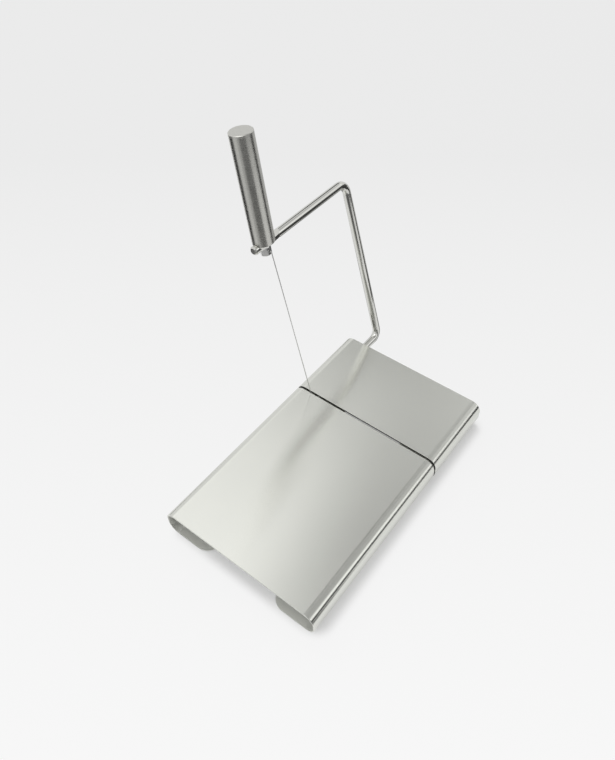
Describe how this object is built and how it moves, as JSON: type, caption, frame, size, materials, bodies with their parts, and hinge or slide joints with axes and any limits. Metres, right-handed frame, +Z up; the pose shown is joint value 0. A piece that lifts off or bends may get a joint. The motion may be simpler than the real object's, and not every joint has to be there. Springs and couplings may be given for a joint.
{
  "type": "cheese slicer",
  "caption": "Cheese slicer: folded steel board with a slot across it and a bent rod arm with a handle that swings a cutting wire down into the slot.",
  "frame": {"origin": "middle of the whole object's footprint at rest, on the surface that the feet stand on", "axes": "+Z up; +Y along the board from its near end to the end where the arm stands; +X across the board, away from the side where the arm is hinged"},
  "size_m": [0.1592, 0.2252, 0.2165],
  "materials": {
    "board_steel": "satin, brushed across the board",
    "rod_steel": "polished stainless steel",
    "handle_steel": "brushed along the handle",
    "fixing_steel": "plain bright stainless steel",
    "screw_steel": "polished stainless steel",
    "wire_steel": "drawn stainless wire",
    "bush_plastic": "natural white acetal",
    "foot_silicone": "translucent grey silicone"
  },
  "bodies": {
    "board": {"board_shell": "board_steel", "axle_bracket_far": "fixing_steel", "axle_bracket_near": "fixing_steel", "axle_bush_far": "bush_plastic", "axle_bush_near": "bush_plastic", "foot_near_left": "foot_silicone", "foot_near_right": "foot_silicone", "foot_far_left": "foot_silicone", "foot_far_right": "foot_silicone"},
    "arm": {"arm_rod": "rod_steel", "thrust_washer": "fixing_steel", "spring_washer": "fixing_steel", "axle_clip_inner": "fixing_steel", "axle_clip_outer": "fixing_steel", "cutting_wire": "wire_steel", "wire_stop_axle": "wire_steel", "wire_stop_handle": "wire_steel", "handle_tube": "handle_steel", "handle_end_cap": "handle_steel", "handle_insert": "fixing_steel", "screw_washer": "screw_steel", "tension_screw": "screw_steel"}
  },
  "joints": [
    {"name": "arm_swing", "type": "hinge", "parent": "board", "child": "arm", "pos_m": [-0.02637, 0.0234, 0.0142], "axis": [0, 1, 0], "range_deg": [-55, 103]}
  ]
}
